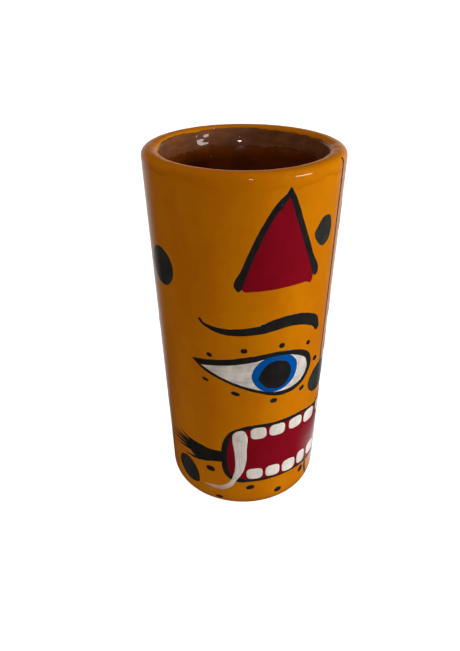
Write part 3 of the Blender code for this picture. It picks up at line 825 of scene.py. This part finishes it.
def palette(colours):
    """The finishes of the cup by name."""
    return {
        "clay": clay_finish(colours),
        "lining": lining_finish(colours),
        "band": band_finish(colours),
        "ochre": ochre_finish(colours),
        "black": enamel_finish("black_enamel", colours.black, (0.032, 0.031, 0.030)),
        "spot": enamel_finish("spot_enamel", (0.024, 0.025, 0.023), (0.044, 0.044, 0.040),
                              amount=0.7),
        "red": enamel_finish("red_enamel", colours.red, (0.17, 0.002, 0.006)),
        "white": enamel_finish("white_enamel", colours.white, (0.52, 0.49, 0.45), amount=0.45),
        "eye": enamel_finish("eye_enamel", colours.white, (0.38, 0.36, 0.335), ALONG_RINGS, 0.62),
        "fang": fang_finish(colours),
        "blue": enamel_finish("blue_enamel", colours.blue, (0.0, 0.050, 0.24)),
    }


# ---------------------------------------------------------------- operators


class TumblerOperator:
    """What the operators share: the cup, its finishes and laying a mark on both sides."""

    bl_options = {"REGISTER", "UNDO"}
    finishes = {}

    def prepare(self, context):
        """Make the finishes once for all steps, and the cup from its sizes."""
        noise.seed_set(BRUSH_SEED)
        if not self.finishes:
            self.finishes.update(palette(context.scene.tumbler_colours))
        self.cup = Cup(context.scene.tumbler_sizes)

    def mark(self, name, outlines, coats, finish, spacing=1.1, stands=True):
        """Lay one mark. It stands for the node of its name, unless it is too small to have one."""
        nodes = (name,) if stands else ()
        film(self.cup, f"painted_{name}", outlines, coats, self.finishes[finish], nodes, spacing)

    def pair(self, name, outlines, **laid):
        """Lay a mark on the left and its mirror image on the right."""
        for side, shapes in both_sides(outlines):
            self.mark(f"{name}_{side}", shapes, **laid)


class TUMBLER_OT_clay(TumblerOperator, bpy.types.Operator):
    """Throw the clay body"""

    bl_idname = "tumbler.clay"
    bl_label = "Clay body"

    def execute(self, context):
        self.prepare(context)
        cup = self.cup
        rows = len(cup.path)
        place = np.broadcast_to(cup.path[None], (ROUND, rows, 4))
        degrees = np.broadcast_to(ANGLES[:, None], (ROUND, rows))
        points = cup.lay(degrees, place, np.zeros((ROUND, rows))).reshape(-1, 3)
        faces = [quad for pair in neighbours(rows) for quad in strip(*pair, rows)]
        piece = new_piece("thrown_clay", points, faces, self.finishes["clay"],
                          ("clay_body",))
        weld_axis(piece)
        return {"FINISHED"}


class TUMBLER_OT_lining(TumblerOperator, bpy.types.Operator):
    """Line the inside with glaze and brush the brown band under the lip"""

    bl_idname = "tumbler.lining"
    bl_label = "Lining and band"

    def execute(self, context):
        self.prepare(context)
        cup, sizes = self.cup, self.cup.sizes
        lap = cup.landmark(cup.mouth, cup.lip_foot)
        covered = lap + 0.0022      # where the ochre coat hides the edges of both
        lower = lap - sizes.band + sizes.lip_height

        def lower_edge(angle):
            ragged = 0.0009 * ripple(angle, 3.2, 4.0) + 0.0005 * ripple(angle, 14.0, 9.0)
            return lower + 1.3 * ragged

        points, faces = girdle(cup, lambda angle: 0.0, lambda angle: covered, sizes.lining,
                               sizes.bead, rows=130)
        lining = new_piece("glazed_lining", points, faces, self.finishes["lining"],
                           ("lining_glaze",))
        weld_axis(lining)
        points, faces = girdle(cup, lower_edge, lambda angle: covered, sizes.lining + 0.00008,
                               sizes.bead, rows=26)
        new_piece("brown_band", points, faces, self.finishes["band"])
        for number, drip in enumerate(DRIPS, 1):
            self.drip(f"glaze_drip_{number}", *drip)
        return {"FINISHED"}

    def drip(self, name, angle, height, half_width, half_height, proud):
        """A bead of glaze that stands on the inside."""
        cup = self.cup
        radius = cup.inner_wall(height)
        middle = cup.landmark(radius, height)
        points, faces = [], []
        rings, around = 7, 28
        lifted, tucked = 0.00006, 0.0001    # the middle stands clear and the edge goes under
        for ring in range(rings + 1):
            reach = ring / rings
            for step in range(around if ring else 1):
                turn = math.tau * step / around
                along = middle + reach * half_height * math.sin(turn)
                across = math.degrees(reach * half_width * math.cos(turn) / radius)
                swell = proud * (1 - reach**2) ** 1.5
                rise = cup.sizes.lining + lifted + swell - tucked * reach**4
                points.append(cup.lay(angle + across, cup.at(along), rise))
        for ring in range(rings):
            inner, outer = max(0, 1 + (ring - 1) * around), 1 + ring * around
            for step in range(around):
                after = (step + 1) % around
                if ring:
                    faces.append((inner + step, inner + after, outer + after, outer + step))
                else:
                    faces.append((0, outer + after, outer + step))
        new_piece(name, points, faces, self.finishes["band"])


class TUMBLER_OT_coat(TumblerOperator, bpy.types.Operator):
    """Lay the ochre coat over the lip, the side and the heel"""

    bl_idname = "tumbler.coat"
    bl_label = "Ochre coat"

    def execute(self, context):
        self.prepare(context)
        cup, sizes = self.cup, self.cup.sizes
        lap = cup.landmark(cup.mouth, cup.lip_foot)

        turn_under = math.radians(68)       # how far the coat goes round the heel
        heel = cup.landmark(cup.foot + sizes.heel_radius * math.cos(turn_under),
                            sizes.heel_radius * (1 - math.sin(turn_under)))

        def inner_edge(angle):
            return lap + 0.0013 + 0.0012 * ripple(angle, 2.6, 1.5) + 0.0005 * ripple(angle, 9.0, 6.5)

        def lower_edge(angle):
            return heel + 0.0009 * ripple(angle, 2.6, 8.5)

        points, faces = girdle(cup, inner_edge, lower_edge, sizes.coat, sizes.bead * 1.6, rows=150)
        new_piece("ochre_ground", points, faces, self.finishes["ochre"],
                  ("ochre_coat",))
        return {"FINISHED"}


class TUMBLER_OT_ears(TumblerOperator, bpy.types.Operator):
    """Paint the ears: a red triangle in a black V with a drip on it"""

    bl_idname = "tumbler.ears"
    bl_label = "Ears"

    def execute(self, context):
        self.prepare(context)
        inner = smooth(EAR_INNER, corners=(3,), closed=False)
        outer = smooth(EAR_OUTER, corners=(6,), closed=False)
        tip, peak = max(EAR_INNER, key=lambda point: point[1])
        tucked = [(angle + math.copysign(1.2, angle - tip), height + 0.4 + (height == peak))
                  for angle, height in EAR_INNER]
        under = smooth(tucked, corners=(3,), closed=False)
        hem = smooth(EAR_HEM, closed=False)
        self.pair("ear_red", [np.vstack([under, hem])], coats=1, finish="red", spacing=1.6)
        self.pair("ear_outline", [np.vstack([outer, inner])], coats=2, finish="black")
        self.pair("ear_drip", [blob(*EAR_DRIP)], coats=7, finish="black", spacing=0.6, stands=False)
        return {"FINISHED"}


class TUMBLER_OT_eyebrows(TumblerOperator, bpy.types.Operator):
    """Paint the eyebrows, one tapering stroke each"""

    bl_idname = "tumbler.eyebrows"
    bl_label = "Eyebrows"

    def execute(self, context):
        self.prepare(context)
        self.pair("eyebrow", [stroke(EYEBROW)], coats=1.5, finish="black")
        return {"FINISHED"}


class TUMBLER_OT_eyes(TumblerOperator, bpy.types.Operator):
    """Paint the eyes: white, iris, pupil, outline and the dots round them"""

    bl_idname = "tumbler.eyes"
    bl_label = "Eyes"

    def execute(self, context):
        self.prepare(context)
        ground, outer, inner, pupil = (
            smooth(points, corners=(0,))
            for points in (widened(EYE_INNER, 0.5), EYE_OUTER, EYE_INNER, PUPIL))
        self.pair("eye_white", [ground], coats=1, finish="eye")
        self.pair("iris", [smooth(IRIS)], coats=2, finish="blue")
        self.pair("pupil", [pupil], coats=3, finish="black")
        self.pair("eye_outline", [outer, inner], coats=2.8, finish="black")
        for number, dot in enumerate(EYE_DOTS, 1):
            self.pair(f"eye_dot_{number}", [blob(*dot, squareness=2.4)], coats=2, finish="black",
                      spacing=0.6, stands=False)
        return {"FINISHED"}


class TUMBLER_OT_nose(TumblerOperator, bpy.types.Operator):
    """Paint the nose and the lines on the forehead and the chin"""

    bl_idname = "tumbler.nose"
    bl_label = "Nose and centre lines"

    def execute(self, context):
        self.prepare(context)
        self.mark("nose", [both_halves(NOSE_HALF)], coats=1.6, finish="spot", spacing=1.4)
        self.mark("forehead_line", [stroke(FOREHEAD_LINE)], coats=1.3, finish="black")
        self.mark("chin_line", [stroke(CHIN_LINE)], coats=1.3, finish="black")
        return {"FINISHED"}


class TUMBLER_OT_mouth(TumblerOperator, bpy.types.Operator):
    """Paint the mouth: red ground, outline, teeth and fangs"""

    bl_idname = "tumbler.mouth"
    bl_label = "Mouth, teeth and fangs"

    def execute(self, context):
        self.prepare(context)
        outer, inner = both_halves(MOUTH_OUTER_HALF), both_halves(MOUTH_INNER_HALF)
        ground = both_halves(widened(MOUTH_INNER_HALF, 0.7))
        self.mark("mouth_red", [ground], coats=1, finish="red", spacing=1.8)
        self.mark("mouth_outline", [outer, inner], coats=2, finish="black")
        self.teeth("upper_tooth", UPPER_TEETH, [])
        self.teeth("lower_tooth", LOWER_TEETH, [FRONT_LOWER_TOOTH])
        self.pair("fang", [smooth(FANG, corners=(7,))], coats=3.4, finish="fang")
        return {"FINISHED"}

    def teeth(self, name, half, middle):
        """The teeth of one jaw, numbered from the left corner of the mouth to the right."""
        others = [(-right, -left, bottom, top) for left, right, bottom, top in reversed(half)]
        for number, edges in enumerate(half + middle + others, 1):
            self.mark(f"{name}_{number}", [tooth(*edges, seed=number)], coats=3, finish="white")


class TUMBLER_OT_whiskers(TumblerOperator, bpy.types.Operator):
    """Paint the whiskers: a tuft and its separate hairs"""

    bl_idname = "tumbler.whiskers"
    bl_label = "Whiskers"

    def execute(self, context):
        self.prepare(context)
        self.pair("whiskers", [smooth(TUFT)], coats=1.6, finish="black")
        for number, (start, middle, tip, width) in enumerate(HAIRS, 1):
            path = [(*start, width), (*middle, 0.75 * width), (*tip, HAIR_TIP)]
            self.pair(f"hair_{number}", [stroke(path, spacing=0.6)], coats=1.3, finish="black",
                      spacing=0.9, stands=False)
        return {"FINISHED"}


class TUMBLER_OT_spots(TumblerOperator, bpy.types.Operator):
    """Paint the spots of the coat and the dots of the chin"""

    bl_idname = "tumbler.spots"
    bl_label = "Spots and dots"

    def execute(self, context):
        self.prepare(context)
        spots = {"forehead": smooth(FOREHEAD_SPOT), "temple": blob(*TEMPLE_SPOT),
                 "jaw": smooth(JAW_SPOT)}
        for place, outline in spots.items():
            self.pair(f"{place}_spot", [outline], coats=1.5, finish="spot", spacing=1.4)
        for number, spot in enumerate(BACK_SPOTS, 1):
            self.mark(f"back_spot_{number}", [blob(*spot)], coats=1.5, finish="spot", spacing=1.4)
        for number, dot in enumerate(CHIN_DOTS, 1):
            for side, shapes in both_sides([blob(*dot, squareness=2.3)]):
                self.mark(f"chin_dot_{side}_{number}", shapes, coats=2, finish="black", spacing=0.6)
        self.pair("heel_dot", [blob(*HEEL_DOT)], coats=2, finish="black", spacing=0.6, stands=False)
        return {"FINISHED"}


DIM = 0.02                  # what the gloss shows on the camera's side of the cup


class TUMBLER_OT_stage(bpy.types.Operator):
    """Set the floor, the lights and the camera"""

    bl_idname = "tumbler.stage"
    bl_label = "Stage"
    bl_options = {"REGISTER", "UNDO"}

    def execute(self, context):
        scene = context.scene
        scene.view_settings.view_transform = "Standard"
        self.world(scene)
        self.floor(scene)
        self.camera(scene)
        self.lights(scene)
        return {"FINISHED"}

    def world(self, scene):
        """A warm room, brighter overhead, that gloss shows only beyond the cup."""
        world = bpy.data.worlds.new("room")
        world.use_nodes = True
        nodes = Nodes(world.node_tree)
        direction = nodes.node("ShaderNodeTexCoord", output="Generated")
        rise = nodes.node("ShaderNodeSeparateXYZ", {}, {0: direction}, output="Z")
        room = nodes.node("ShaderNodeBackground", {}, {
            "Color": (1.0, 0.82, 0.66), "Strength": nodes.step(rise, 0.15, 1.0, 0.05, 0.64)})
        low = nodes.step(rise, 0.36, 0.12)
        shown = nodes.node("ShaderNodeBackground", {}, {
            "Strength": DIM + 0.76 * low * self.beyond(nodes, direction, 0.50, 0.95)})
        seen = nodes.node("ShaderNodeBackground", {}, {"Color": (1.0, 1.0, 1.0)})
        source = self.by_ray(nodes, room, shown, seen)
        nodes.fill(world.node_tree.nodes["World Output"].inputs["Surface"], source)
        scene.world = world

    def beyond(self, nodes, direction, low, high):
        """How nearly a direction leads away from the camera, past the cup."""
        turn = math.radians(CAMERA_AZIMUTH + 180)
        away = (math.sin(turn), -math.cos(turn), 0.0)
        straight = nodes.node("ShaderNodeVectorMath", {"operation": "NORMALIZE"}, {0: direction})
        share = nodes.node("ShaderNodeVectorMath", {"operation": "DOT_PRODUCT"},
                           {0: straight, 1: away}, output="Value")
        return nodes.step(share, low, high)

    def by_ray(self, nodes, lighting, shown, seen):
        """Use one shader to light the cup, one in its gloss and one for the camera."""
        glossy = nodes.node("ShaderNodeLightPath", output="Is Glossy Ray")
        camera = nodes.node("ShaderNodeLightPath", output="Is Camera Ray")
        unseen = nodes.node("ShaderNodeMixShader", {}, {0: glossy, 1: lighting, 2: shown})
        return nodes.node("ShaderNodeMixShader", {}, {0: camera, 1: unseen, 2: seen})

    def floor(self, scene):
        """A pale floor; in the gloss it is pale only beyond the cup and close to its foot."""
        mesh = bpy.data.meshes.new("floor")
        reach = 6.0
        corners = [(-reach, -reach, 0), (reach, -reach, 0), (reach, reach, 0), (-reach, reach, 0)]
        mesh.from_pydata(corners, [], [(0, 1, 2, 3)])
        finish = bpy.data.materials.new("pale_floor")
        finish.use_nodes = True
        nodes = Nodes(finish.node_tree)
        place = nodes.node("ShaderNodeTexCoord", output="Object")
        distance = nodes.node("ShaderNodeVectorMath", {"operation": "LENGTH"}, {0: place}, "Value")
        dull = nodes.node("ShaderNodeBsdfDiffuse", {}, {"Color": (0.44, 0.44, 0.44)})
        pale = nodes.node("ShaderNodeBsdfDiffuse", {}, {"Color": (0.75, 0.75, 0.75)})
        bounce = nodes.node("ShaderNodeEmission", {}, {
            "Strength": nodes.step(distance, 0.05, 0.26, 0.22, 0.0)})
        lighting = nodes.node("ShaderNodeAddShader", {}, {0: dull, 1: bounce})
        shade = DIM + 0.56 * self.beyond(nodes, place, 0.45, 0.97)
        near = nodes.step(distance, 0.075, 0.045, 0.0, 0.80)
        window = nodes.node("ShaderNodeSeparateXYZ", {}, {0: place}, output="X")
        near = near * nodes.step(window, 0.0, 0.03)
        shown = nodes.node("ShaderNodeEmission", {}, {"Strength": shade + near})
        glow = nodes.node("ShaderNodeEmission", {}, {"Strength": 0.90})
        bright = nodes.node("ShaderNodeAddShader", {}, {0: pale, 1: glow})
        source = self.by_ray(nodes, lighting, shown, bright)
        nodes.fill(finish.node_tree.nodes["Material Output"].inputs["Surface"], source)
        mesh.materials.append(finish)
        floor = bpy.data.objects.new("floor", mesh)
        scene.collection.objects.link(floor)

    def camera(self, scene):
        """Looks down on the cup's left front, from a hand's reach above it."""
        azimuth = math.radians(CAMERA_AZIMUTH)
        away, aside, above = 0.3004, -0.005565, 0.22555
        pitch, roll = math.radians(26.78), -0.0039
        right = Vector((math.cos(azimuth), math.sin(azimuth), 0))
        back = Vector((math.sin(azimuth), -math.cos(azimuth), 0))
        lens = bpy.data.cameras.new("camera")
        lens.sensor_width = 36.0
        lens.lens = 44.14
        lens.clip_start = 0.01
        camera = bpy.data.objects.new("camera", lens)
        camera.location = right * aside + back * away + Vector((0, 0, above))
        look = -back * math.cos(pitch) + Vector((0, 0, -math.sin(pitch)))
        turn = look.to_track_quat("-Z", "Y").to_matrix().to_4x4()
        camera.rotation_mode = "QUATERNION"
        camera.rotation_quaternion = turn.to_quaternion() @ Quaternion((0, 0, 1), roll)
        scene.collection.objects.link(camera)
        scene.camera = camera

    def lights(self, scene):
        """A low bright window on the right, a small pane near the camera, and a day light and a fill
        that the gloss doesn't show.
        """
        self.light(scene, "window", azimuth=-2, elevation=8.5, distance=1.15, size=(0.41, 0.30),
                   power=5.2)
        self.light(scene, "pane", azimuth=-60, elevation=13, distance=1.3, size=(0.12, 0.12),
                   power=1.9)
        day = self.light(scene, "day", azimuth=25, elevation=10, distance=1.2, size=(0.3, 0.3),
                         power=5.9)
        fill = self.light(scene, "fill", azimuth=-163, elevation=3, distance=1.5,
                          size=(0.9, 0.4), power=2.1)
        for lamp in (day, fill):
            lamp.visible_glossy = False

    def light(self, scene, name, azimuth, elevation, distance, size, power):
        """A rectangular light that faces the cup."""
        lamp = bpy.data.lights.new(name, "AREA")
        lamp.shape = "RECTANGLE"
        lamp.size, lamp.size_y = size
        lamp.energy = power
        turn, rise = math.radians(azimuth), math.radians(elevation)
        flat = math.cos(rise)
        direction = Vector((math.sin(turn) * flat, -math.cos(turn) * flat, math.sin(rise)))
        holder = bpy.data.objects.new(name, lamp)
        middle = Vector((0, 0, 0.08))
        holder.location = middle + direction * distance
        holder.rotation_mode = "QUATERNION"
        holder.rotation_quaternion = (-direction).to_track_quat("-Z", "Y")
        scene.collection.objects.link(holder)
        return holder


OPERATORS = (
    TUMBLER_OT_stage, TUMBLER_OT_clay, TUMBLER_OT_lining, TUMBLER_OT_coat, TUMBLER_OT_ears,
    TUMBLER_OT_eyebrows, TUMBLER_OT_eyes, TUMBLER_OT_nose, TUMBLER_OT_mouth,
    TUMBLER_OT_whiskers, TUMBLER_OT_spots,
)


class TUMBLER_PT_panel(bpy.types.Panel):
    """Lists the steps of making the cup, in order"""

    bl_idname = "TUMBLER_PT_panel"
    bl_label = "Jaguar Tumbler"
    bl_space_type = "VIEW_3D"
    bl_region_type = "UI"
    bl_category = "Tumbler"

    def draw(self, context):
        for group in (context.scene.tumbler_sizes, context.scene.tumbler_colours):
            column = self.layout.column(align=True)
            for label in type(group).__annotations__:
                column.prop(group, label)
        for step in OPERATORS:
            self.layout.operator(step.bl_idname)


CLASSES = (TumblerSizes, TumblerColours, *OPERATORS, TUMBLER_PT_panel)


def register():
    """Make the settings, steps and panel known."""
    for item in CLASSES:
        bpy.utils.register_class(item)
    bpy.types.Scene.tumbler_sizes = bpy.props.PointerProperty(type=TumblerSizes)
    bpy.types.Scene.tumbler_colours = bpy.props.PointerProperty(type=TumblerColours)


def unregister():
    """Forget them again."""
    del bpy.types.Scene.tumbler_colours
    del bpy.types.Scene.tumbler_sizes
    for item in reversed(CLASSES):
        bpy.utils.unregister_class(item)


def main():
    """Build the finished cup."""
    register()
    for step in OPERATORS:
        group, label = step.bl_idname.split(".")
        getattr(getattr(bpy.ops, group), label)()


if __name__ == "__main__":
    main()
